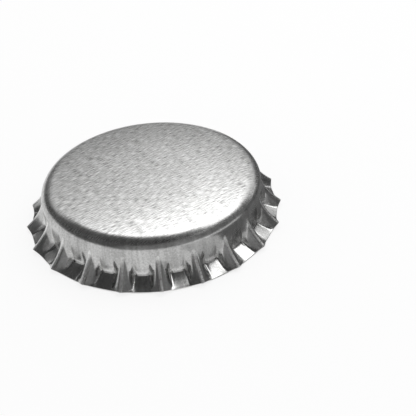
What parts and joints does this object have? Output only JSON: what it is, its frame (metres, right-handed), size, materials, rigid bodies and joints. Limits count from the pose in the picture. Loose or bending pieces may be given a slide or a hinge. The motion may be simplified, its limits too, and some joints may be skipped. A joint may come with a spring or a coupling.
{
  "type": "bottle cap",
  "caption": "Crown cap of drawn tinplate with a fluted skirt and a moulded sealing liner, for pressing onto a bottle's mouth.",
  "frame": {"origin": "on the table plane under the centre of the cap, as it stands on the edge of its skirt", "axes": "+Z along the cap's axis, up through the top panel; +X through one crest of the skirt"},
  "size_m": [0.0319, 0.032, 0.006],
  "materials": {
    "tinplate": "bare tinplate, fine rolling grain on the top panel, bright drawn skirt",
    "sealing_compound": "off-white moulded sealing compound, satin"
  },
  "bodies": {
    "root": {"shell": "tinplate", "liner": "sealing_compound"}
  },
  "joints": []
}
